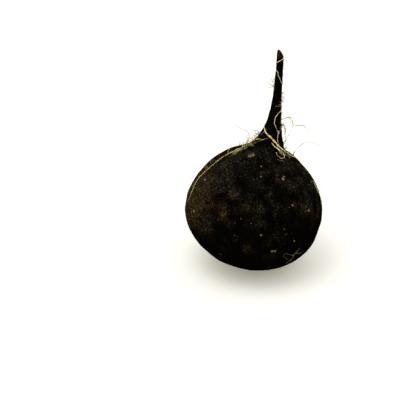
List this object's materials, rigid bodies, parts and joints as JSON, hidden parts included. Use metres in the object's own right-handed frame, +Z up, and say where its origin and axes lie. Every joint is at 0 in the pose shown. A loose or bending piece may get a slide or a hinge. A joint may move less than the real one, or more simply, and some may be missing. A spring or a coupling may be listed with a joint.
{
  "type": "black radish",
  "caption": "Whole round black radish with rough dark skin, standing on its trimmed crown with its long taproot up and fine lateral rootlets.",
  "frame": {"origin": "middle of the trimmed crown, at the level of the surface the radish stands on", "axes": "+Z up along the taproot, +X to the side that the taproot leans to, +Y away from the front"},
  "size_m": [0.0848, 0.0848, 0.1415],
  "materials": {
    "skin": "matt, nearly black skin with fine cracks, brown staining and small pale scars",
    "stalk": "matt cut ends of yellow-green leaf stalks with dry brown rims",
    "bud": "matt cut growing point, cream to pale green",
    "rootlet": "dry straw-brown root fibre"
  },
  "bodies": {
    "root": {"radish_root": "skin", "crown_bud": "bud", "leaf_stalk_01": "stalk", "leaf_stalk_02": "stalk", "leaf_stalk_03": "stalk", "leaf_stalk_04": "stalk", "leaf_stalk_05": "stalk", "leaf_stalk_06": "stalk", "leaf_stalk_07": "stalk", "leaf_stalk_08": "stalk", "leaf_stalk_09": "stalk", "leaf_stalk_10": "stalk", "leaf_stalk_11": "stalk", "leaf_stalk_12": "stalk", "rootlet_main_strand": "rootlet", "rootlet_looped_strand": "rootlet", "rootlet_left_foot": "rootlet", "rootlet_taproot_wrap": "rootlet", "rootlet_near_tip": "rootlet", "rootlet_upper_taproot": "rootlet", "rootlet_curl": "rootlet", "rootlet_curl_branch": "rootlet", "rootlet_stout_stub": "rootlet", "rootlet_shoulder_arch": "rootlet", "rootlet_left_wisp": "rootlet", "rootlet_left_shoulder": "rootlet", "rootlet_back_strand": "rootlet", "rootlet_back_left": "rootlet", "rootlet_back_curl": "rootlet", "rootlet_right_rank_low": "rootlet"}
  },
  "joints": []
}
